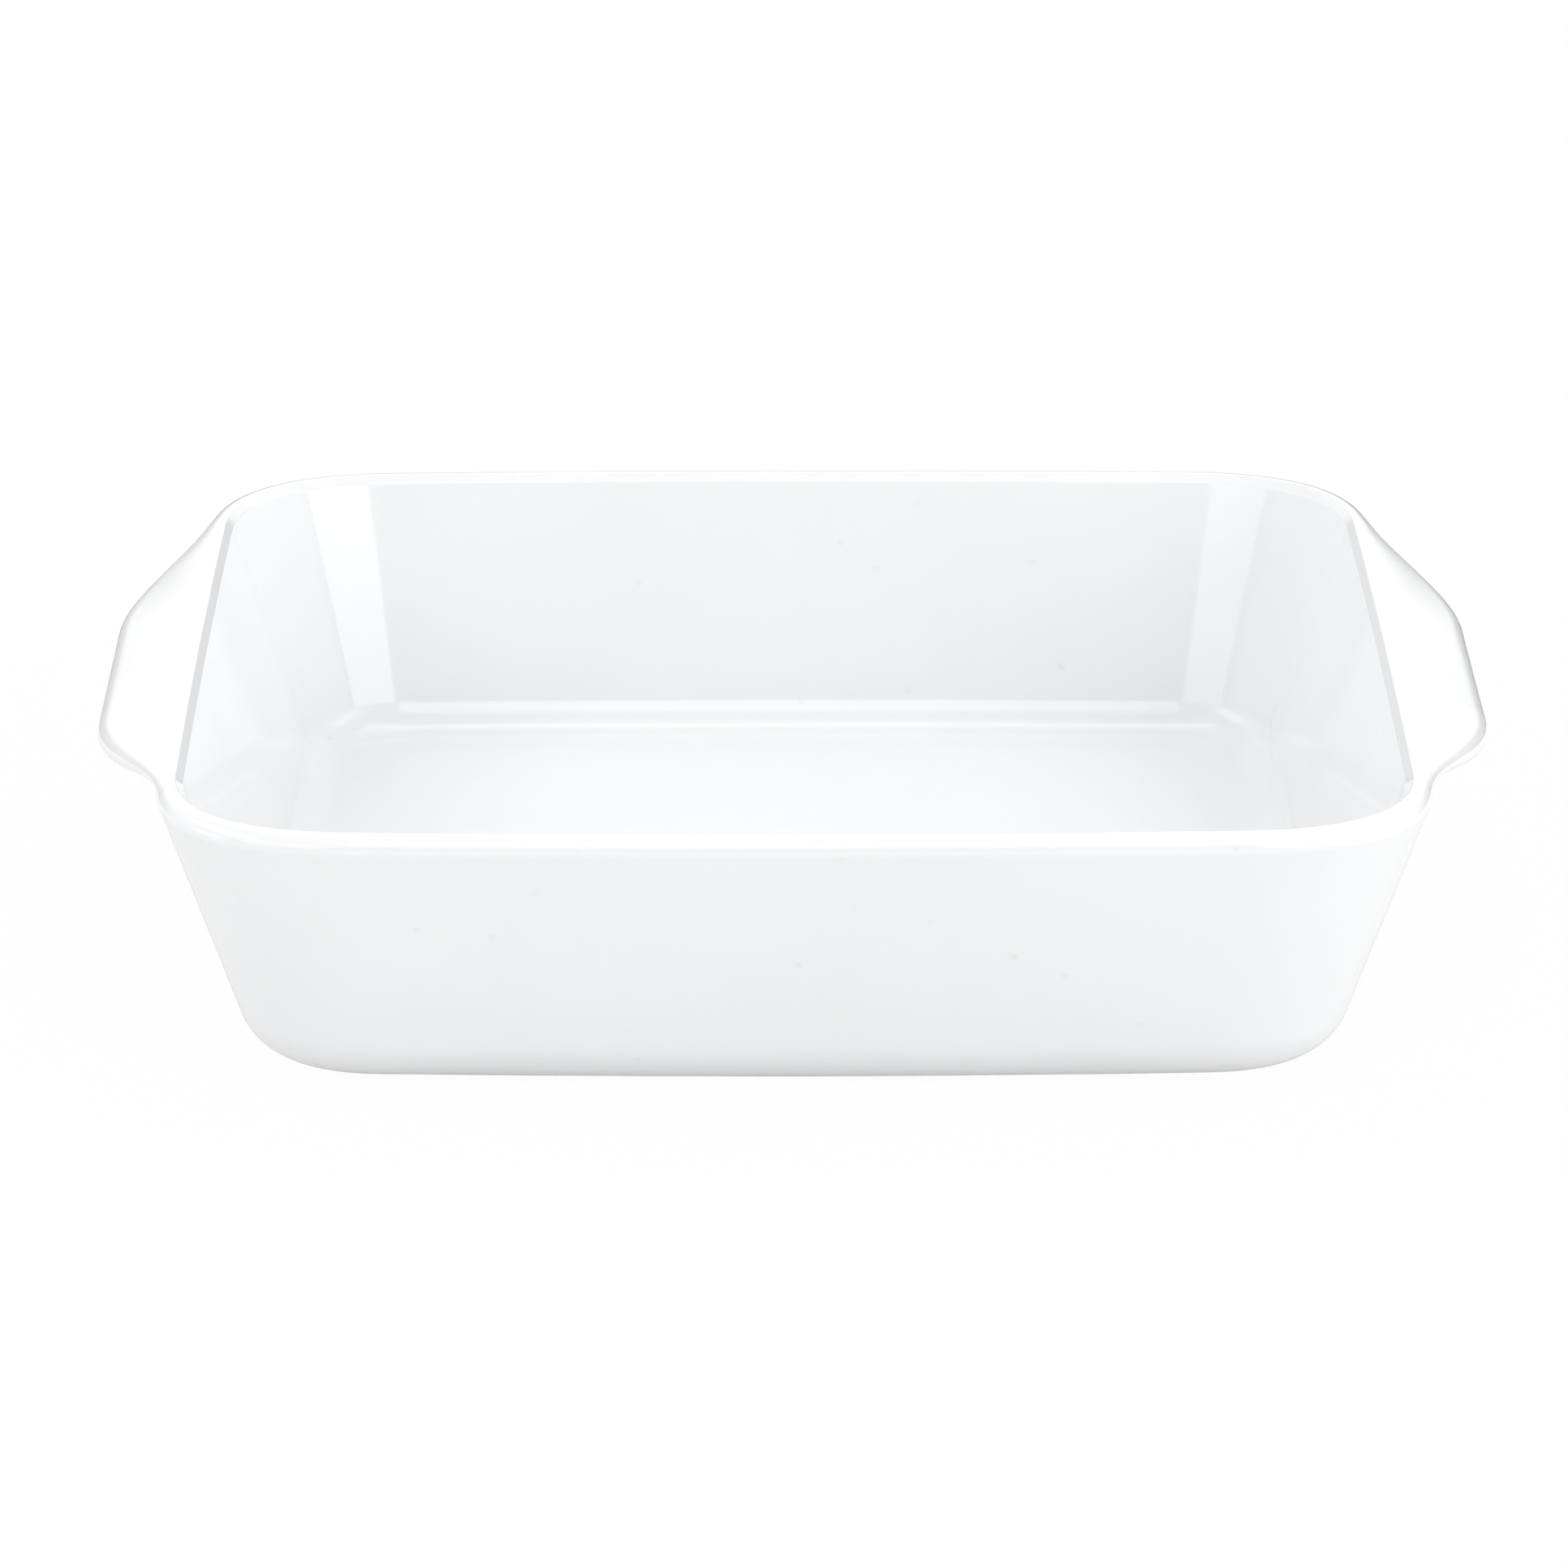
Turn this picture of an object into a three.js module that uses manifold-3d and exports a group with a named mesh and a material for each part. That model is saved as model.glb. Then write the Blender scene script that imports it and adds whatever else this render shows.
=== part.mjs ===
import * as THREE from 'three';
import { LoftGeometry } from 'three/addons/geometries/LoftGeometry.js';
import { mergeVertices } from 'three/addons/utils/BufferGeometryUtils.js';
import Module from 'manifold-3d';

// Square baking dish, sizes in millimetres
// X runs from handle to handle, Y from front to back, Z up from the table

// The bowl
const rimWidth = 230; // across the rim between neighbouring corners, handles left out
const dishHeight = 54; // table to the top of the rim
const wallThickness = 5; // square to the slanted wall
const wallTaper = THREE.MathUtils.degToRad(18.5); // lean of the walls out of upright
const floorThickness = 5; // underside to the inside floor
const coveRadius = 8; // inside rounding between wall and floor
const endBow = 2.5; // outward swell at the middle of the front and back sides
const sideBow = 0.7; // outward swell at the middle of the left and right sides

// The corners in plan
const cornerRadius = 37; // at the rim
const cornerTightening = 0.8; // loss of radius for each millimetre in from the rim
const cornerFullness = 2.45; // 2 is a circle, more is squarer
const sharpestCorner = 10; // least plan radius, kept by the inner edge of the foot

// The lip along the top
const lipOuterRadius = 2.8;
const lipBevel = 1; // taken off the level top by the bevel along the inside
const bevelRounding = 0.6; // along both edges of the bevel

// The unglazed foot under the floor
const footHeight = 1;
const footWidth = 7;
const footSetback = 1; // from where the underside turns level to the foot

// The handles
const handleReach = 13; // beyond the rim
const handleDrop = 4.9; // from the rim down to the handle's outer edge
const handleBend = 0.25; // share of the handle's width in which it turns down from the rim
const handleThickness = 6;
const handleRoot = 180; // length along the rim
const handleTip = 54; // length of the straight outer edge
const handleUndercut = 6; // how far the hollow below follows the wall

// Where one part ends and its neighbour begins
const floorLedge = 2; // level strip that stays with the walls around the floor
const spare = 5; // how far the cutting blocks stand clear

// Steps of the round stretches
const cornerSteps = 8;
const endSteps = 6;
const sideSteps = 18;
const roundSteps = 5;
const edgeSteps = 18;

const wasm = await Module();
wasm.setup();

// Lines of the slanted wall, as distance in from the rim line at a height
const slant = Math.tan(wallTaper);
const widen = 1 / Math.cos(wallTaper); // level distance for a distance square to the wall
const outerInset = (height) => (dishHeight - height) * slant;
const innerInset = (height) => outerInset(height) + wallThickness * widen;

// Centres of the roundings in a cut through the wall
const floorTop = footHeight + floorThickness;
const underRadius = coveRadius + wallThickness;
const underHeight = footHeight + underRadius;
const underInset = outerInset(underHeight) + underRadius * widen;
const coveHeight = floorTop + coveRadius;
const coveInset = innerInset(coveHeight) + coveRadius * widen;
const lipOuterHeight = dishHeight - lipOuterRadius;
const lipOuterInset = outerInset(lipOuterHeight) + lipOuterRadius * widen;
const bevelTopHeight = dishHeight - bevelRounding;
const bevelTopInset = innerInset(dishHeight) - lipBevel - (Math.SQRT2 - 1) * bevelRounding;
const bevelDepth = (lipBevel + (Math.SQRT2 - widen) * bevelRounding) / (1 - slant);
const bevelLowHeight = dishHeight - bevelDepth;
const bevelLowInset = innerInset(bevelLowHeight) - bevelRounding * widen;
const floorInset = Math.max(underInset, coveInset) + floorLedge;
const handleStart = dishHeight - lipOuterInset / slant; // where the handle leaves the wall

// Points of one rounding in a cut through the wall, x inwards and y up
function rounding(inset, height, radius, from, to) {
  return new THREE.Path().absarc(inset, height, radius, from, to, to < from).getPoints(roundSteps);
}

// Outside of the lip where there is no handle
function plainEdge() {
  const edge = new THREE.Path();
  edge.absarc(lipOuterInset, lipOuterHeight, lipOuterRadius, Math.PI + wallTaper, Math.PI / 2, true);
  return edge.getSpacedPoints(edgeSteps);
}

// Outside of the lip through the middle of a handle: hollow below, round edge, sloping top
function handleEdge() {
  const tipRadius = handleThickness / 2;
  const slope = Math.atan2(handleDrop, (1 - handleBend) * (handleReach + lipOuterInset));
  const topLength = handleReach + lipOuterInset - tipRadius * (1 - Math.sin(slope));
  const tipInset = lipOuterInset - topLength + tipRadius * Math.sin(slope);
  const tipHeight = dishHeight - handleDrop - tipRadius * Math.cos(slope);
  const below = new THREE.Vector2(Math.sin(slope), -Math.cos(slope));
  const tipUnder = new THREE.Vector2(tipInset, tipHeight).addScaledVector(below, tipRadius);
  const wallPoint = new THREE.Vector2(
    lipOuterInset - handleUndercut * Math.sin(wallTaper),
    handleStart + handleUndercut * Math.cos(wallTaper),
  );
  const underPoint = new THREE.Vector2(
    tipUnder.x + (topLength / 2) * Math.cos(slope),
    tipUnder.y + (topLength / 2) * Math.sin(slope),
  );
  const edge = new THREE.Path().moveTo(lipOuterInset, handleStart);
  edge.bezierCurveTo(wallPoint.x, wallPoint.y, underPoint.x, underPoint.y, tipUnder.x, tipUnder.y);
  const tipStart = slope + 1.5 * Math.PI;
  edge.absarc(tipInset, tipHeight, tipRadius, tipStart, tipStart - Math.PI, true);
  const bendInset = lipOuterInset - topLength + handleDrop / Math.tan(slope);
  edge.quadraticCurveTo(bendInset, dishHeight, lipOuterInset, dishHeight);
  return edge.getSpacedPoints(edgeSteps);
}

const withoutHandle = plainEdge();
const withHandle = handleEdge();

// The whole cut through the wall, with a share of the handle between none (0) and all of it (1)
function wallProfile(share) {
  const edge = withoutHandle.map((point, step) => point.clone().lerp(withHandle[step], share));
  const under = Math.PI + wallTaper;
  const down = 1.5 * Math.PI;
  return [
    new THREE.Vector2(floorInset, footHeight),
    ...rounding(underInset, underHeight, underRadius, down, under),
    ...edge,
    ...rounding(bevelTopInset, bevelTopHeight, bevelRounding, Math.PI / 2, Math.PI / 4),
    ...rounding(bevelLowInset, bevelLowHeight, bevelRounding, Math.PI / 4, wallTaper),
    ...rounding(coveInset, coveHeight, coveRadius, under, down),
    new THREE.Vector2(floorInset, floorTop),
  ];
}

// One place on the outline, seen in the back right quarter and then turned into its own quarter
// angle goes round the corner, along is the share of the side that follows it
function outlinePoint({ quarter, angle, along }, inset) {
  const half = rimWidth / 2 - inset;
  const radius = Math.max(cornerRadius - cornerTightening * inset, sharpestCorner);
  const centre = half - radius;
  const power = 2 / cornerFullness;
  const cornerX = centre + radius * Math.max(Math.cos(angle), 0) ** power;
  const cornerY = centre + radius * Math.max(Math.sin(angle), 0) ** power;
  let x = cornerX - 2 * centre * along;
  let y = cornerY;
  for (let turn = 0; turn < quarter; turn++) [x, y] = [-y, x];
  const swellX = sideBow * (1 - (y / half) ** 2) * (x / half);
  const swellY = endBow * (1 - (x / half) ** 2) * (y / half);
  return new THREE.Vector2(x + swellX, y + swellY);
}

// Places once round the dish: each corner, then the side after it
function outlinePlaces() {
  const places = [];
  for (let quarter = 0; quarter < 4; quarter++) {
    const steps = quarter % 2 ? sideSteps : endSteps;
    for (let step = 0; step < cornerSteps; step++)
      places.push({ quarter, angle: ((Math.PI / 2) * step) / cornerSteps, along: 0 });
    for (let step = 0; step < steps; step++)
      places.push({ quarter, angle: Math.PI / 2, along: step / steps });
  }
  return places;
}

const places = outlinePlaces();

// Outline of a level ring at a distance in from the rim line
function ringOutline(inset) {
  return places.map((place) => outlinePoint(place, inset));
}

// How much of the handle stands at a place: none past the root, all of it between the ends of the tip
function handleShare(place) {
  const fromMiddle = Math.abs(outlinePoint(place, 0).y);
  return 1 - THREE.MathUtils.smoothstep(fromMiddle, handleTip / 2, handleRoot / 2);
}

function solidFrom(geometry) {
  const bare = new THREE.BufferGeometry();
  bare.setAttribute('position', geometry.getAttribute('position'));
  bare.setIndex(geometry.getIndex());
  const merged = mergeVertices(bare);
  return new wasm.Manifold(
    new wasm.Mesh({
      numProp: 3,
      vertProperties: merged.attributes.position.array,
      triVerts: new Uint32Array(merged.index.array),
    }),
  );
}

// Upright block between two corners given as [x, y], over the full height
function block([x0, y0], [x1, y1]) {
  const box = new THREE.BoxGeometry(x1 - x0, y1 - y0, dishHeight + 2 * spare);
  return solidFrom(box.translate((x0 + x1) / 2, (y0 + y1) / 2, dishHeight / 2));
}

// Walls, corners, lip and handles as one ring, before it is divided
function wallRing() {
  const sections = [...places, places[0]].map((place) =>
    wallProfile(handleShare(place)).map((point) => {
      const plan = outlinePoint(place, point.x);
      return new THREE.Vector3(plan.x, plan.y, point.y);
    }),
  );
  return solidFrom(new LoftGeometry(sections.reverse()));
}

// Level plate or ring on an outline
function plate(outline, hole, bottom, thickness) {
  const shape = new THREE.Shape(outline);
  if (hole) shape.holes.push(new THREE.Path(hole));
  const flat = new THREE.ExtrudeGeometry(shape, { depth: thickness, bevelEnabled: false });
  return solidFrom(flat.translate(0, 0, bottom));
}

function glaze() {
  return new THREE.MeshStandardMaterial({ color: 0xf3f5f7, roughness: 0.12, metalness: 0 });
}

function bareClay() {
  return new THREE.MeshStandardMaterial({ color: 0xe8e4da, roughness: 0.8, metalness: 0 });
}

const dish = new THREE.Group();
dish.name = 'square_baking_dish';

function addPart(name, solid, material) {
  const mesh = solid.getMesh();
  const geometry = new THREE.BufferGeometry();
  geometry.setAttribute('position', new THREE.BufferAttribute(mesh.vertProperties, 3));
  geometry.setIndex(new THREE.BufferAttribute(mesh.triVerts, 1));
  geometry.computeVertexNormals();
  const part = new THREE.Mesh(geometry, material);
  part.name = name;
  dish.add(part);
}

// The ring of walls is divided along upright planes where the corners begin and behind the handles
const far = rimWidth / 2 + handleReach + spare;
const cornerStart = rimWidth / 2 - cornerRadius;
const handleBack = rimWidth / 2 - lipOuterInset;
const handleEnd = handleRoot / 2;
const ring = wallRing();
const leftBlock = block([-far, -handleEnd], [-handleBack, handleEnd]);
const rightBlock = block([handleBack, -handleEnd], [far, handleEnd]);
const bowl = ring.subtract(leftBlock).subtract(rightBlock);

function addWall(name, from, to) {
  addPart(name, bowl.intersect(block(from, to)), glaze());
}

addPart('floor', plate(ringOutline(floorInset), null, footHeight, floorThickness), glaze());
const footOuter = underInset + footSetback;
const footOutline = ringOutline(footOuter);
addPart('foot_ring', plate(footOutline, ringOutline(footOuter + footWidth), 0, footHeight), bareClay());

addWall('front_wall', [-cornerStart, -far], [cornerStart, 0]);
addWall('back_wall', [-cornerStart, 0], [cornerStart, far]);
addWall('left_wall', [-far, -cornerStart], [0, cornerStart]);
addWall('right_wall', [0, -cornerStart], [far, cornerStart]);

addWall('front_left_corner', [-far, -far], [-cornerStart, -cornerStart]);
addWall('front_right_corner', [cornerStart, -far], [far, -cornerStart]);
addWall('back_left_corner', [-far, cornerStart], [-cornerStart, far]);
addWall('back_right_corner', [cornerStart, cornerStart], [far, far]);

addPart('left_handle', ring.intersect(leftBlock), glaze());
addPart('right_handle', ring.intersect(rightBlock), glaze());

export default dish;
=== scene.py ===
import bpy
import math
import numpy as np
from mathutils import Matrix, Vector


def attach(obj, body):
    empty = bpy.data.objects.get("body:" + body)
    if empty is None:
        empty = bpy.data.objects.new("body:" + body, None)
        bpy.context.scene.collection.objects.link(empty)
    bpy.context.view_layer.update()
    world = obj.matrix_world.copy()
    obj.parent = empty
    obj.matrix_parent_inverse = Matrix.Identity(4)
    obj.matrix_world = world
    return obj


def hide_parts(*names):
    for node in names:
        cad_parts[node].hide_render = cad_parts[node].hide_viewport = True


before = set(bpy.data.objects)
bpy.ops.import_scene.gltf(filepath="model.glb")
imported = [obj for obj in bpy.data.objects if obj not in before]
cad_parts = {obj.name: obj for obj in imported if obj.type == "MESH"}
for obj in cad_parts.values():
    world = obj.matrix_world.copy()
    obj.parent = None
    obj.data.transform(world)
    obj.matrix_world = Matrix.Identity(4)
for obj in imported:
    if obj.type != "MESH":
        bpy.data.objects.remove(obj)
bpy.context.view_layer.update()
print("frame loaded, nodes:", len(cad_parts))

mm = 0.001

# the bowl, in mm
bowl = {
    "rimWidth": 230.0,
    "height": 54.0,
    "wall": 5.0,
    "taper": 18.5,  # degrees out of upright
    "floor": 5.0,
    "cove": 8.0,
    "endBow": 2.5,  # swell of the front and back sides
    "sideBow": 0.7,
    "corner": 37.0,
    "tightening": 0.8,  # corner radius lost per mm in from the rim
    "fullness": 2.45,  # 2 is a circle, more is squarer
    "tightest": 10.0,
    "lipOuter": 2.8,
    "bevel": 1.0,
    "bevelRound": 0.6,
    "ledge": 2.0,  # level strip between cove and floor piece
}

# the two handles, in mm
handle = {"reach": 13.0, "drop": 4.9, "bend": 0.25, "thick": 6.0, "root": 180.0, "tip": 54.0, "undercut": 6.0}

# the bare foot ring, in mm
foot = {"height": 1.0, "width": 7.0, "setback": 1.0, "edge": 0.45, "sunk": 0.15}

# hand-finished unevenness of the fired surface, in mm
wave = {"count": 14, "shortest": 26.0, "longest": 75.0, "depth": 0.015, "seed": 11}

# how finely the surface is drawn, once round the dish and then through its wall
steps = {
    "corner": 40,
    "end": 52,
    "side": 92,
    "under": 16,
    "outer": 12,
    "edge": 46,  # lip or handle, outside
    "lip": 6,
    "bevel": 5,
    "inner": 14,
    "cove": 18,
    "floor": 18,
    "footEdge": 6,
    "footFlat": 4,
    "curve": 200,  # a curve before its points are spread evenly
}


def evenAngles(count):
    # angles that space points evenly round a corner
    t = np.linspace(0, math.pi / 2, 4001)
    power = 2 / bowl["fullness"]
    x = np.maximum(np.cos(t), 0) ** power
    y = np.maximum(np.sin(t), 0) ** power
    run = np.concatenate([[0], np.cumsum(np.hypot(np.diff(x), np.diff(y)))])
    return np.interp(np.linspace(0, run[-1], count + 1), run, t)


def outlinePlaces():
    # once round the dish: each corner, then the side after it
    places = []
    starts = []
    angles = evenAngles(steps["corner"])
    for quarter in range(4):
        starts.append(len(places))
        places += [(quarter, angle, 0.0) for angle in angles[:-1]]
        starts.append(len(places))
        count = steps["side"] if quarter % 2 else steps["end"]
        places += [(quarter, math.pi / 2, s / count) for s in range(count)]
    return places, starts


def ringPoint(place, inset):
    # plan point of one place at distances in from the rim line
    quarter, angle, along = place
    half = bowl["rimWidth"] / 2 - inset
    radius = np.maximum(bowl["corner"] - bowl["tightening"] * inset, bowl["tightest"])
    centre = half - radius
    power = 2 / bowl["fullness"]
    x = centre + radius * max(math.cos(angle), 0) ** power - 2 * centre * along
    y = centre + radius * max(math.sin(angle), 0) ** power
    for turn in range(quarter):
        x, y = -y, x
    swellX = bowl["sideBow"] * (1 - (y / half) ** 2) * (x / half)
    swellY = bowl["endBow"] * (1 - (x / half) ** 2) * (y / half)
    return x + swellX, y + swellY


def arcPoints(centre, radius, start, end, count):
    t = np.linspace(start, end, count + 1)
    return np.stack([centre[0] + radius * np.cos(t), centre[1] + radius * np.sin(t)], -1)


def bezierPoints(points, count):
    t = np.linspace(0, 1, count + 1)[:, None]
    level = [np.array(p, float) for p in points]
    while len(level) > 1:
        level = [a * (1 - t) + b * t for a, b in zip(level[:-1], level[1:])]
    return level[0]


def linePoints(a, b, count):
    # points strictly between a and b
    return np.array(a) + (np.array(b) - np.array(a)) * np.linspace(0, 1, count + 1)[1:-1, None]


def evenlySpaced(path, count):
    run = np.concatenate([[0], np.cumsum(np.hypot(*np.diff(path, axis=0).T))])
    s = np.linspace(0, run[-1], count + 1)
    return np.stack([np.interp(s, run, path[:, k]) for k in (0, 1)], -1)


def wallProfile():
    # cut through the wall as (distance in from the rim line, height)
    taper = math.radians(bowl["taper"])
    slant, widen = math.tan(taper), 1 / math.cos(taper)
    top, base = bowl["height"], foot["height"]
    floorTop = base + bowl["floor"]

    def outer(z):
        return (top - z) * slant

    def inner(z):
        return outer(z) + bowl["wall"] * widen

    underR = bowl["cove"] + bowl["wall"]
    under = (outer(base + underR) + underR * widen, base + underR)
    cove = (inner(floorTop + bowl["cove"]) + bowl["cove"] * widen, floorTop + bowl["cove"])
    lipO = (outer(top - bowl["lipOuter"]) + bowl["lipOuter"] * widen, top - bowl["lipOuter"])
    soft = bowl["bevelRound"]
    bevelTop = (inner(top) - bowl["bevel"] - (math.sqrt(2) - 1) * soft, top - soft)
    bevelLow = top - (bowl["bevel"] + (math.sqrt(2) - widen) * soft) / (1 - slant)
    bevelLow = (inner(bevelLow) - soft * widen, bevelLow)
    floorIn = max(under[0], cove[0]) + bowl["ledge"]
    leave = (lipO[0], top - lipO[0] / slant)  # where a handle leaves the wall
    down, side = 1.5 * math.pi, math.pi + taper

    roll = arcPoints(under, underR, down, side, steps["under"])
    lipIn = arcPoints(bevelTop, soft, math.pi / 2, math.pi / 4, steps["lip"])
    lipLow = arcPoints(bevelLow, soft, math.pi / 4, taper, steps["lip"])
    lipIn = np.vstack([lipIn, linePoints(lipIn[-1], lipLow[0], steps["bevel"]), lipLow])
    bend = arcPoints(cove, bowl["cove"], side, down, steps["cove"])
    fine = steps["curve"]
    plain = arcPoints(lipO, bowl["lipOuter"], side, math.pi / 2, fine)

    # a handle: hollow below, round edge, sloping top
    tipR = handle["thick"] / 2
    slope = math.atan2(handle["drop"], (1 - handle["bend"]) * (handle["reach"] + lipO[0]))
    length = handle["reach"] + lipO[0] - tipR * (1 - math.sin(slope))
    tip = (lipO[0] - length + tipR * math.sin(slope), top - handle["drop"] - tipR * math.cos(slope))
    turnIn = lipO[0] - length + handle["drop"] / math.tan(slope)
    tipUnder = (tip[0] + tipR * math.sin(slope), tip[1] - tipR * math.cos(slope))
    undercut = handle["undercut"]
    alongWall = (leave[0] - undercut * math.sin(taper), leave[1] + undercut * math.cos(taper))
    alongUnder = (tipUnder[0] + length / 2 * math.cos(slope), tipUnder[1] + length / 2 * math.sin(slope))
    grip = np.vstack([
        bezierPoints([leave, alongWall, alongUnder, tipUnder], fine),
        arcPoints(tip, tipR, slope + down, slope + math.pi / 2, fine)[1:],
        bezierPoints([(lipO[0] - length, top - handle["drop"]), (turnIn, top), (lipO[0], top)], fine)[1:],
    ])
    innerWall = linePoints(lipIn[-1], bend[0], steps["inner"])
    return {
        "outside": np.vstack([[(floorIn, base)], roll, linePoints(roll[-1], leave, steps["outer"])]),
        "plain": evenlySpaced(plain, steps["edge"]),
        "grip": evenlySpaced(grip, steps["edge"]),
        "inside": np.vstack([lipIn, innerWall, bend, [(floorIn, floorTop)]]),
        "floorIn": floorIn,
        "floorTop": floorTop,
        "footOuter": under[0] + foot["setback"],
    }


def handleShare(y):
    # none of the handle past its root (0), all of it along its tip (1)
    t = min(max((abs(y) - handle["tip"] / 2) / ((handle["root"] - handle["tip"]) / 2), 0), 1)
    return 1 - t * t * (3 - 2 * t)


def gridNormals(points):
    around = np.roll(points, -1, 0) - np.roll(points, 1, 0)
    across = np.gradient(points, axis=1)
    normal = np.cross(around, across)
    return normal / np.maximum(np.linalg.norm(normal, axis=-1, keepdims=True), 1e-12)


def unevenness(points):
    # height and slope of the uneven surface, a sum of long gentle waves
    rng = np.random.RandomState(wave["seed"])
    height = np.zeros(points.shape[:-1])
    slope = np.zeros(points.shape)
    for k in range(wave["count"]):
        direction = rng.normal(size=3)
        direction /= np.linalg.norm(direction)
        length = wave["shortest"] * (wave["longest"] / wave["shortest"]) ** rng.rand()
        reach = direction * 2 * math.pi / length
        phase = points @ reach + rng.rand() * 2 * math.pi
        depth = wave["depth"] * length / wave["longest"]
        height += depth * np.sin(phase)
        slope += depth * np.cos(phase)[..., None] * reach
    return height, slope


def roughen(points, normals):
    height, slope = unevenness(points)
    flat = slope - (slope * normals).sum(-1, keepdims=True) * normals
    bent = normals - flat
    return points + normals * height[..., None], bent / np.linalg.norm(bent, axis=-1, keepdims=True)


def meshPiece(name, points, faces, normals):
    # one closed piece; normals holds one vector per face corner
    mesh = bpy.data.meshes.new(name)
    mesh.from_pydata([tuple(p) for p in np.array(points) * mm], [], faces)
    mesh.polygons.foreach_set("use_smooth", [True] * len(mesh.polygons))
    mesh.normals_split_custom_set([tuple(n) for n in normals])
    piece = bpy.data.objects.new(name, mesh)
    bpy.context.scene.collection.objects.link(piece)
    return piece


class Patchwork:
    # gathers faces of one piece; shown faces keep the smooth surface's normals, joint faces are flat

    def __init__(self):
        self.index, self.points, self.faces, self.normals = {}, [], [], []

    def corner(self, key, point):
        if key not in self.index:
            self.index[key] = len(self.points)
            self.points.append(point)
        return self.index[key]

    def add(self, corners, shown):
        # corners: (key, point, normal)
        ring = [self.corner(key, point) for key, point, normal in corners]
        self.faces.append(ring)
        if shown:
            self.normals += [normal for key, point, normal in corners]
            return
        loop = np.array([point for key, point, normal in corners])
        area = np.cross(loop, np.roll(loop, -1, 0)).sum(0)
        self.normals += [area / max(np.linalg.norm(area), 1e-12)] * len(ring)

    def build(self, name):
        return meshPiece(name, self.points, self.faces, self.normals)


places, starts = outlinePlaces()
profile = wallProfile()
columns = len(places)
firstEdge = len(profile["outside"])
lastEdge = firstEdge + steps["edge"]


def wallGrid():
    grid = []
    for place in places:
        share = handleShare(ringPoint(place, 0.0)[1])
        edge = profile["plain"] * (1 - share) + profile["grip"] * share
        cut = np.vstack([profile["outside"], edge, profile["inside"]])
        x, y = ringPoint(place, cut[:, 0])
        grid.append(np.stack([x, y, cut[:, 1]], -1))
    points = np.array(grid)
    return roughen(points, gridNormals(points))


wallPoints, wallNormals = wallGrid()
rows = wallPoints.shape[1]


def gridCorner(column, row):
    column %= columns
    return (column, row), wallPoints[column, row], wallNormals[column, row]


def gridQuad(column, a, b):
    # face between two neighbouring columns and two rows
    return [gridCorner(column + side, row) for side, row in ((0, a), (1, a), (1, b), (0, b))]


def handleSpan(side):
    # columns of the left (-1) or right (+1) handle, with one plain column at each end
    inside = []
    for column, place in enumerate(places):
        x, y = ringPoint(place, 0.0)
        if x * side > 0 and handleShare(y) > 0:
            inside.append(column)
    if side > 0:  # this one runs over the end of the list
        inside = [c if c > columns / 2 else c + columns for c in inside]
    return min(inside) - 1, max(inside) + 1


spans = {"left": handleSpan(-1), "right": handleSpan(1)}


def inSpan(column):
    return any(a <= c < b for a, b in spans.values() for c in (column % columns, column % columns + columns))


def wallPiece(name, start, end):
    # stretch of wall between two columns; behind a handle the lip stops at an upright joint
    patch = Patchwork()
    whole = list(range(rows))
    short = whole[: firstEdge + 1] + whole[lastEdge:]
    for column in range(start, end):
        kept = short if inSpan(column) else whole
        for a, b in zip(kept, kept[1:] + kept[:1]):
            patch.add(gridQuad(column, a, b), b == a + 1)
        if column > start and inSpan(column) != inSpan(column - 1):
            lip = range(firstEdge, lastEdge + 1)
            patch.add([gridCorner(column, r) for r in (reversed(lip) if inSpan(column) else lip)], False)
    first = short if inSpan(start) else whole
    last = short if inSpan(end - 1) else whole
    patch.add([gridCorner(start, r) for r in first], False)
    patch.add([gridCorner(end, r) for r in reversed(last)], False)
    return patch.build(name)


def handlePiece(name, span):
    patch = Patchwork()
    lip = list(range(firstEdge, lastEdge + 1))
    for column in range(*span):
        for a, b in zip(lip, lip[1:] + lip[:1]):
            patch.add(gridQuad(column, a, b), b == a + 1)
    patch.add([gridCorner(span[0], r) for r in lip], False)
    patch.add([gridCorner(span[1], r) for r in reversed(lip)], False)
    return patch.build(name)


def plateLayer(height, up):
    # rings from the joint with the walls to the middle
    outline = np.array([ringPoint(place, profile["floorIn"]) for place in places])
    scale = np.linspace(1, 0, steps["floor"] + 1)[:-1] ** 0.8  # closer together near the joint
    points = np.zeros((columns, len(scale), 3))
    points[..., :2] = outline[:, None, :] * scale[None, :, None]
    points[..., 2] = height
    normals = np.zeros_like(points)
    normals[..., 2] = up
    middle = roughen(np.array([[[0.0, 0.0, height]]]), np.array([[[0.0, 0.0, float(up)]]]))
    return roughen(points, normals), (middle[0][0, 0], middle[1][0, 0])


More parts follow.
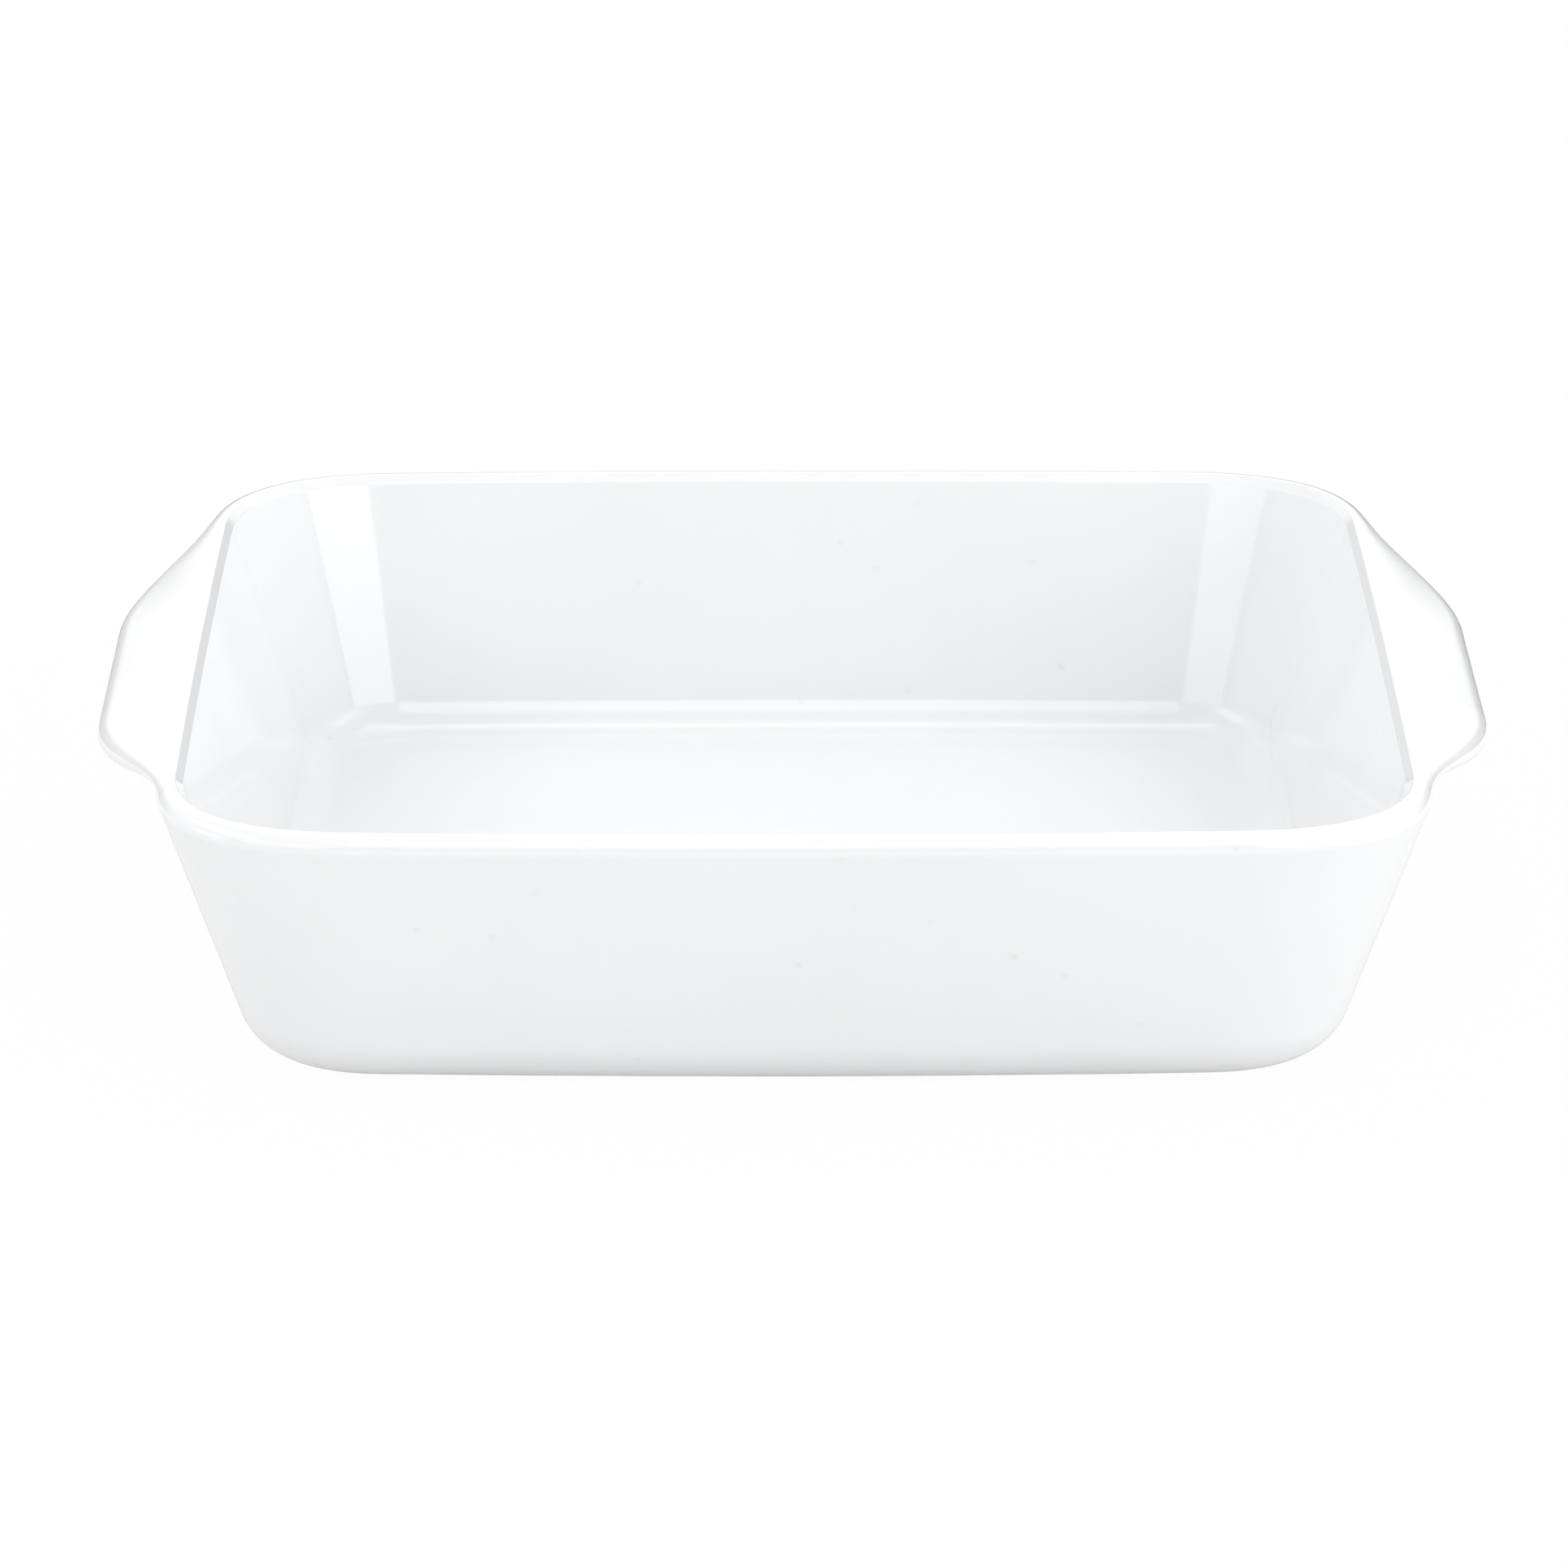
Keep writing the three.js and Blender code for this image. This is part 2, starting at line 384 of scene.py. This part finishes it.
def floorPiece(name):
    patch = Patchwork()
    rings = steps["floor"]
    for layer, (height, up) in enumerate(((profile["floorTop"], 1), (foot["height"], -1))):
        (points, normals), middle = plateLayer(height, up)

        def corner(c, r):
            return (layer, c, r), points[c, r], normals[c, r]

        for column in range(columns):
            nextColumn = (column + 1) % columns
            for ring in range(rings - 1):
                quad = [corner(column, ring), corner(nextColumn, ring)]
                quad += [corner(nextColumn, ring + 1), corner(column, ring + 1)]
                patch.add(quad if up > 0 else quad[::-1], True)
            fan = [corner(column, rings - 1), corner(nextColumn, rings - 1), ((layer, "middle"), *middle)]
            patch.add(fan if up > 0 else fan[::-1], True)
        if layer == 0:
            topPoints, topNormals = points, normals
    for column in range(columns):
        nextColumn = (column + 1) % columns
        patch.add([
            ((1, column, 0), points[column, 0], normals[column, 0]),
            ((1, nextColumn, 0), points[nextColumn, 0], normals[nextColumn, 0]),
            ((0, nextColumn, 0), topPoints[nextColumn, 0], topNormals[nextColumn, 0]),
            ((0, column, 0), topPoints[column, 0], topNormals[column, 0]),
        ], False)
    return patch.build(name)


def footPiece(name):
    outer = profile["footOuter"]
    inner = outer + foot["width"]
    top, edge = foot["height"] + foot["sunk"], foot["edge"]
    section = np.vstack([
        [(inner, top)],
        arcPoints((inner - edge, edge), edge, 0, -math.pi / 2, steps["footEdge"]),
        linePoints((inner - edge, 0), (outer + edge, 0), steps["footFlat"]),
        arcPoints((outer + edge, edge), edge, -math.pi / 2, -math.pi, steps["footEdge"]),
        [(outer, top)],
    ])
    points = []
    for place in places:
        x, y = ringPoint(place, section[:, 0])
        points.append(np.stack([x, y, section[:, 1]], -1))
    points = np.array(points)
    normals = gridNormals(points)
    patch = Patchwork()
    count = len(section)
    for column in range(columns):
        nextColumn = (column + 1) % columns
        for a in range(count):
            b = (a + 1) % count
            ring = ((column, a), (nextColumn, a), (nextColumn, b), (column, b))
            patch.add([(place, points[place], normals[place]) for place in ring], b > a)
    return patch.build(name)


pieces = {}
sideNames = ["back", "left", "front", "right"]
cornerNames = ["back_right", "back_left", "front_left", "front_right"]
for quarter in range(4):
    cornerStart, sideStart = starts[2 * quarter], starts[2 * quarter + 1]
    sideEnd = starts[2 * quarter + 2] if quarter < 3 else columns
    cornerName, sideName = cornerNames[quarter] + "_corner", sideNames[quarter] + "_wall"
    pieces[cornerName] = wallPiece("glazed_" + cornerName, cornerStart, sideStart)
    pieces[sideName] = wallPiece("glazed_" + sideName, sideStart, sideEnd)
for side, span in spans.items():
    pieces[side + "_handle"] = handlePiece("glazed_" + side + "_handle", span)
pieces["floor"] = floorPiece("glazed_floor")
pieces["foot_ring"] = footPiece("bare_foot_ring")
print("pieces built:", len(pieces))


# the white glaze
glaze = {
    "white": (0.861, 0.867, 0.875, 1),
    "cloud": (0.844, 0.850, 0.857, 1),  # where the glaze lies a little thinner
    "speck": (0.42, 0.40, 0.37, 1),
    "blots": {"scale": 130.0, "size": 0.15, "share": 0.4, "strength": 0.16},  # sunk deep, soft and pale
    "dots": {"scale": 260.0, "size": 0.065, "share": 0.1, "strength": 0.4},
    "cloudScale": 22.0,
    "gloss": 0.035,
    "glossSpread": 0.02,
    "glossScale": 60.0,
    "peel": 0.02,  # fine orange peel
    "peelScale": 420.0,
    "peelDepth": 0.0005,  # metres
    "ior": 1.5,
}

# the bare clay of the foot
clay = {
    "light": (0.74, 0.70, 0.62, 1),
    "dark": (0.60, 0.56, 0.49, 1),
    "stainScale": 40.0,
    "dots": {"scale": 700.0, "size": 0.3, "share": 0.35},
    "rough": 0.82,
    "grain": 0.35,
    "grainScale": 900.0,
    "grainDepth": 0.0003,  # metres
}


def newGroup(name, inputs, outputs):
    group = bpy.data.node_groups.new(name, "ShaderNodeTree")
    for label, kind, value in inputs:
        socket = group.interface.new_socket(label, in_out="INPUT", socket_type=kind)
        if value is not None:
            socket.default_value = value
    for label, kind in outputs:
        group.interface.new_socket(label, in_out="OUTPUT", socket_type=kind)
    return group, group.nodes.new("NodeGroupInput"), group.nodes.new("NodeGroupOutput")


def addNode(tree, kind, **values):
    node = tree.nodes.new(kind)
    for key, value in values.items():
        setattr(node, key, value)
    return node


def mapRange(tree, source, low, high, toLow, toHigh):
    node = addNode(tree, "ShaderNodeMapRange")
    values = {"Value": source, "From Min": low, "From Max": high, "To Min": toLow, "To Max": toHigh}
    for socket, value in values.items():
        if isinstance(value, bpy.types.NodeSocket):
            tree.links.new(value, node.inputs[socket])
        else:
            node.inputs[socket].default_value = value
    return node.outputs["Result"]


def joined(tree, operation, a, b):
    node = addNode(tree, "ShaderNodeMath", operation=operation)
    tree.links.new(a, node.inputs[0])
    tree.links.new(b, node.inputs[1])
    return node.outputs[0]


def noise(tree, vector, scale, detail, rough=0.5):
    node = addNode(tree, "ShaderNodeTexNoise")
    node.inputs["Scale"].default_value = scale
    node.inputs["Detail"].default_value = detail
    node.inputs["Roughness"].default_value = rough
    tree.links.new(vector, node.inputs["Vector"])
    return node.outputs["Fac"]


def speckGroup():
    # scattered specks: a mask that is 1 in the middle of a speck
    tree, inside, outside = newGroup(
        "fired specks",
        [
            ("Vector", "NodeSocketVector", None),
            ("Scale", "NodeSocketFloat", 160.0),
            ("Size", "NodeSocketFloat", 0.1),
            ("Share", "NodeSocketFloat", 0.2),
        ],
        [("Mask", "NodeSocketFloat")],
    )
    cells = addNode(tree, "ShaderNodeTexVoronoi")
    tree.links.new(inside.outputs["Vector"], cells.inputs["Vector"])
    tree.links.new(inside.outputs["Scale"], cells.inputs["Scale"])
    spot = addNode(tree, "ShaderNodeMapRange")
    spot.interpolation_type = "SMOOTHSTEP"
    spot.inputs["To Min"].default_value = 1
    spot.inputs["To Max"].default_value = 0
    tree.links.new(cells.outputs["Distance"], spot.inputs["Value"])
    tree.links.new(inside.outputs["Size"], spot.inputs["From Max"])
    pick = addNode(tree, "ShaderNodeSeparateColor")
    tree.links.new(cells.outputs["Color"], pick.inputs["Color"])
    chosen = joined(tree, "LESS_THAN", pick.outputs["Red"], inside.outputs["Share"])
    strength = joined(tree, "MULTIPLY", chosen, pick.outputs["Green"])
    mask = joined(tree, "MULTIPLY", strength, spot.outputs["Result"])
    tree.links.new(mask, outside.inputs["Mask"])
    return tree


specks = speckGroup()


def speckMask(tree, where, kind):
    node = addNode(tree, "ShaderNodeGroup", node_tree=specks)
    tree.links.new(where, node.inputs["Vector"])
    for socket in ("Scale", "Size", "Share"):
        node.inputs[socket].default_value = kind[socket.lower()]
    return node.outputs["Mask"]


def mixColour(tree, factor, a, b):
    node = addNode(tree, "ShaderNodeMix", data_type="RGBA")
    tree.links.new(factor, node.inputs["Factor"])
    for socket, colour in (("A", a), ("B", b)):
        target = [s for s in node.inputs if s.name == socket and s.type == "RGBA"][0]
        if isinstance(colour, tuple):
            target.default_value = colour
        else:
            tree.links.new(colour, target)
    return [s for s in node.outputs if s.type == "RGBA"][0]


def addBump(tree, shader, height, strength, depth):
    bump = addNode(tree, "ShaderNodeBump")
    bump.inputs["Strength"].default_value = strength
    bump.inputs["Distance"].default_value = depth
    tree.links.new(height, bump.inputs["Height"])
    tree.links.new(bump.outputs["Normal"], shader.inputs["Normal"])


def startMaterial(name):
    material = bpy.data.materials.new(name)
    material.use_nodes = True
    tree = material.node_tree
    shader = tree.nodes["Principled BSDF"]
    where = addNode(tree, "ShaderNodeTexCoord").outputs["Object"]
    return material, tree, shader, where


def glazeMaterial():
    material, tree, shader, where = startMaterial("white_glaze")
    clouds = mapRange(tree, noise(tree, where, glaze["cloudScale"], 3), 0.35, 0.7, 0, 1)
    colour = mixColour(tree, clouds, glaze["white"], glaze["cloud"])
    for kind in (glaze["blots"], glaze["dots"]):
        faint = mapRange(tree, speckMask(tree, where, kind), 0, 1, 0, kind["strength"])
        colour = mixColour(tree, faint, colour, glaze["speck"])
    tree.links.new(colour, shader.inputs["Base Color"])
    duller = glaze["gloss"] + glaze["glossSpread"]
    sheen = mapRange(tree, noise(tree, where, glaze["glossScale"], 4), 0.3, 0.7, glaze["gloss"], duller)
    tree.links.new(sheen, shader.inputs["Roughness"])
    shader.inputs["IOR"].default_value = glaze["ior"]
    peel = noise(tree, where, glaze["peelScale"], 2)
    addBump(tree, shader, peel, glaze["peel"], glaze["peelDepth"])
    return material


def clayMaterial():
    material, tree, shader, where = startMaterial("bare_clay")
    stain = mapRange(tree, noise(tree, where, clay["stainScale"], 3), 0.3, 0.75, 0, 1)
    colour = mixColour(tree, stain, clay["light"], clay["dark"])
    colour = mixColour(tree, speckMask(tree, where, clay["dots"]), colour, glaze["speck"])
    tree.links.new(colour, shader.inputs["Base Color"])
    shader.inputs["Roughness"].default_value = clay["rough"]
    grain = noise(tree, where, clay["grainScale"], 5, 0.65)
    addBump(tree, shader, grain, clay["grain"], clay["grainDepth"])
    return material


whiteGlaze = glazeMaterial()
bareClay = clayMaterial()
for node, piece in pieces.items():
    bare = node == "foot_ring"
    piece.data.materials.append(bareClay if bare else whiteGlaze)
    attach(piece, "root")
    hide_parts(node)
print("materials on:", whiteGlaze.name, bareClay.name)


# floor and soft light; sizes in metres, angles in degrees from the camera's side
studio = {
    "floorSize": 1.6,
    "floorBack": 0.2,  # how far the floor runs on behind the dish
    "floorColour": (0.82, 0.82, 0.82, 1),
    "floorSunk": 0.0002,  # just under the foot, so the two never lie in one plane
    # share of plain white that each kind of ray sees
    "floorWhite": {"Is Camera Ray": 0.97, "Is Glossy Ray": 0.42, "Is Transmission Ray": 0.97},
    "skyWhite": {"Is Camera Ray": 1.0, "Is Transmission Ray": 1.0},
    "skyRound": 0.95,  # pale sides and back
    "skyTop": 0.64,  # dimmer overhead
    "skyLow": 0.28,  # share left low down in front
    "skyFront": 0.2,  # share left in the opening round the camera
    "skyBack": 1.25,  # share at the back
    "skyStrip": {"left": 0.3, "right": 0.05},  # share left in the dark strip low down at the back
    "stripTop": {"middle": 0.19, "left": 0.5, "right": 0.62},  # the strip rises towards the sides
    "lampAim": (0, 0, 0.03),
}

# where one part of the sky turns into the next, along X, Y or Z of the direction looked in
skyEdges = {
    "topZ": (0.6, 0.85),
    "openingY": (-0.89, -0.91),
    "frontY": (-0.3, -0.45),
    "lowZ": (0.3, 0.4),
    "backY": (0.5, 0.7),
    "stripZ": 0.1,  # up to here the strip is at its darkest
    "sidesX": (0.35, 0.65),
    "leftToRightX": (-0.25, 0.25),
}

# soft boxes: turn to the right and rise above the table, seen from the dish; glow is their brightness
lamps = [
    {"name": "key", "turn": 38.5, "rise": 16, "far": 1.5, "wide": 1.24, "tall": 0.7, "glow": 1.9},
    {"name": "fill", "turn": -36, "rise": 20, "far": 1.5, "wide": 1.1, "tall": 0.65, "glow": 1.15},
    {"name": "above_camera", "turn": 0, "rise": 47, "far": 1.5, "wide": 0.45, "tall": 0.88, "glow": 1.6},
    {"name": "top_back", "turn": 180, "rise": 72, "far": 1.5, "wide": 1.0, "tall": 0.36, "glow": 1.7},
    {"name": "low_right", "turn": 78, "rise": 8, "far": 1.5, "wide": 0.7, "tall": 0.35, "glow": 2.4},
    {"name": "low_left", "turn": -80, "rise": 7, "far": 1.5, "wide": 0.7, "tall": 0.35, "glow": 1.3},
    {"name": "high_left", "turn": -90, "rise": 42, "far": 1.5, "wide": 1.2, "tall": 0.45, "glow": 1.5},
    {"name": "high_right", "turn": 90, "rise": 42, "far": 1.5, "wide": 1.2, "tall": 0.45, "glow": 1.35},
]


def shareSeen(tree, shares):
    # the share that belongs to the kind of ray that arrives
    light = addNode(tree, "ShaderNodeLightPath")
    parts = [mapRange(tree, light.outputs[kind], 0, 1, 0, share) for kind, share in shares.items()]
    seen = parts[0]
    for part in parts[1:]:
        seen = joined(tree, "MAXIMUM", seen, part)
    return seen


def studioFloor():
    half, back, low = studio["floorSize"] / 2, studio["floorBack"], -studio["floorSunk"]
    corners = [(-half, -half, low), (half, -half, low), (half, back, low), (-half, back, low)]
    mesh = bpy.data.meshes.new("studio_floor")
    mesh.from_pydata(corners, [], [(0, 1, 2, 3)])
    floor = bpy.data.objects.new("studio_floor", mesh)
    bpy.context.scene.collection.objects.link(floor)
    material = bpy.data.materials.new("studio_floor")
    material.use_nodes = True
    tree = material.node_tree
    tree.nodes.clear()
    matt = addNode(tree, "ShaderNodeBsdfDiffuse")
    matt.inputs["Color"].default_value = studio["floorColour"]
    white = addNode(tree, "ShaderNodeEmission")
    mix = addNode(tree, "ShaderNodeMixShader")
    tree.links.new(shareSeen(tree, studio["floorWhite"]), mix.inputs["Fac"])
    tree.links.new(matt.outputs[0], mix.inputs[1])
    tree.links.new(white.outputs[0], mix.inputs[2])
    out = addNode(tree, "ShaderNodeOutputMaterial")
    tree.links.new(mix.outputs[0], out.inputs["Surface"])
    mesh.materials.append(material)


def aim(thing, target):
    thing.rotation_euler = (Vector(target) - thing.location).to_track_quat("-Z", "Y").to_euler()


def addLamp(lamp):
    data = bpy.data.lights.new(lamp["name"], "AREA")
    data.shape = "RECTANGLE"
    data.size, data.size_y = lamp["wide"], lamp["tall"]
    data.energy = lamp["glow"] * math.pi * lamp["wide"] * lamp["tall"]
    thing = bpy.data.objects.new(lamp["name"], data)
    turn, rise = math.radians(lamp["turn"]), math.radians(lamp["rise"])
    level = lamp["far"] * math.cos(rise)
    thing.location = (level * math.sin(turn), -level * math.cos(turn), lamp["far"] * math.sin(rise))
    bpy.context.scene.collection.objects.link(thing)
    aim(thing, studio["lampAim"])


def dimmed(tree, source, share, level):
    # source, taken down to a level where share is 1
    return joined(tree, "MULTIPLY", source, mapRange(tree, share, 0, 1, 1, level))


def studioSky():
    # a pale tent with a dark opening round the camera and a dark strip low down at the back
    world = bpy.data.worlds.new("studio_sky")
    world.use_nodes = True
    tree = world.node_tree
    split = addNode(tree, "ShaderNodeSeparateXYZ")
    tree.links.new(addNode(tree, "ShaderNodeTexCoord").outputs["Generated"], split.inputs[0])
    x, y, z = (split.outputs[axis] for axis in "XYZ")
    strength = mapRange(tree, z, *skyEdges["topZ"], studio["skyRound"], studio["skyTop"])
    opening = mapRange(tree, y, *skyEdges["openingY"], 0, 1)
    strength = dimmed(tree, strength, opening, studio["skyFront"])
    before = mapRange(tree, y, *skyEdges["frontY"], 0, 1)
    before = joined(tree, "MULTIPLY", before, mapRange(tree, z, *skyEdges["lowZ"], 1, 0))
    strength = dimmed(tree, strength, before, studio["skyLow"])
    behind = mapRange(tree, y, *skyEdges["backY"], 0, 1)
    strength = dimmed(tree, strength, behind, studio["skyBack"])
    aside = addNode(tree, "ShaderNodeMath", operation="ABSOLUTE")
    tree.links.new(x, aside.inputs[0])
    level, top, across = studio["skyStrip"], studio["stripTop"], skyEdges["leftToRightX"]
    sideTop = mapRange(tree, x, *across, top["left"], top["right"])
    stripTop = mapRange(tree, aside.outputs[0], *skyEdges["sidesX"], top["middle"], sideTop)
    strip = mapRange(tree, z, skyEdges["stripZ"], stripTop, 1, 0)
    strip = joined(tree, "MULTIPLY", behind, strip)
    stripLevel = mapRange(tree, x, *across, level["left"], level["right"])
    strength = dimmed(tree, strength, strip, stripLevel)
    strength = joined(tree, "MAXIMUM", strength, shareSeen(tree, studio["skyWhite"]))
    tree.links.new(strength, tree.nodes["Background"].inputs["Strength"])
    tree.nodes["Background"].inputs["Color"].default_value = (1, 1, 1, 1)
    bpy.context.scene.world = world


studioFloor()
studioSky()
for lamp in lamps:
    addLamp(lamp)

# the photo's point of view, fitted to its edges
view = {
    "rise": 18.357,  # degrees
    "turn": 0.320,
    "far": 1.6161,  # metres
    "target": (0, 0, 0.026),
    "frame": 1932.0,  # the rest is in pixels of the photo
    "focal": 10527.5,
    "right": 9.86,
    "up": 2.59,
}


def addCamera():
    scene = bpy.context.scene
    data = bpy.data.cameras.new("photo_camera")
    data.lens = data.sensor_width * view["focal"] / view["frame"]
    data.clip_end = 20
    data.shift_x = -view["right"] / view["frame"]
    data.shift_y = -view["up"] / view["frame"]
    camera = bpy.data.objects.new("photo_camera", data)
    rise, turn = math.radians(view["rise"]), math.radians(view["turn"])
    forward = Vector((math.sin(turn) * math.cos(rise), math.cos(turn) * math.cos(rise), -math.sin(rise)))
    camera.location = Vector(view["target"]) - forward * view["far"]
    camera.rotation_euler = forward.to_track_quat("-Z", "Y").to_euler()
    scene.collection.objects.link(camera)
    scene.camera = camera
    scene.view_settings.view_transform = "Standard"


addCamera()
print("studio ready, lamps:", len(lamps))
